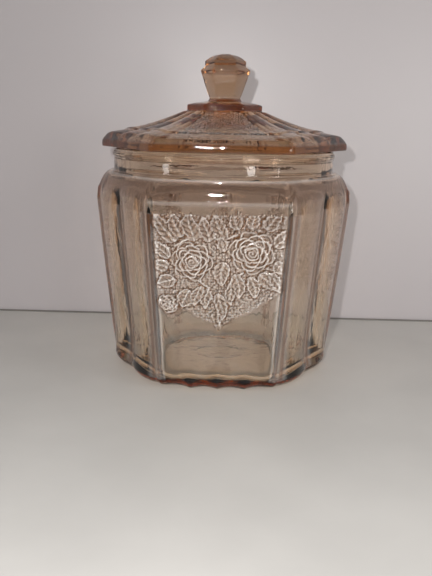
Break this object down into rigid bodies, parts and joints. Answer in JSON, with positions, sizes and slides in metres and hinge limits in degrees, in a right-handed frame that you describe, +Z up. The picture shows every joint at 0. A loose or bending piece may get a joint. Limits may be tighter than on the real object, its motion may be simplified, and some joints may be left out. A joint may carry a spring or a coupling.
{
  "type": "covered glass jar",
  "caption": "Softly hexagonal pressed glass jar with relief flower panels, lobed sides and a round neck, under a loose hexagonal lid with a ribbed dome and a faceted knob.",
  "frame": {"origin": "middle of the foot, on the surface the jar stands on", "axes": "+Z up through the knob, -Y out of the relief panel that faces the viewer, +X to the viewer's right through a corner"},
  "size_m": [0.1572, 0.1398, 0.1906],
  "materials": {
    "jar_glass": "polished pressed glass, pale peach pink",
    "lid_glass": "polished pressed glass, pale peach pink"
  },
  "bodies": {
    "jar": {"jar": "jar_glass"},
    "lid": {"lid": "lid_glass"}
  },
  "joints": [
    {"name": "lid_lift", "type": "slide", "parent": "jar", "child": "lid", "axis": [0, 0, 1], "range_m": [0, 0.15]}
  ]
}
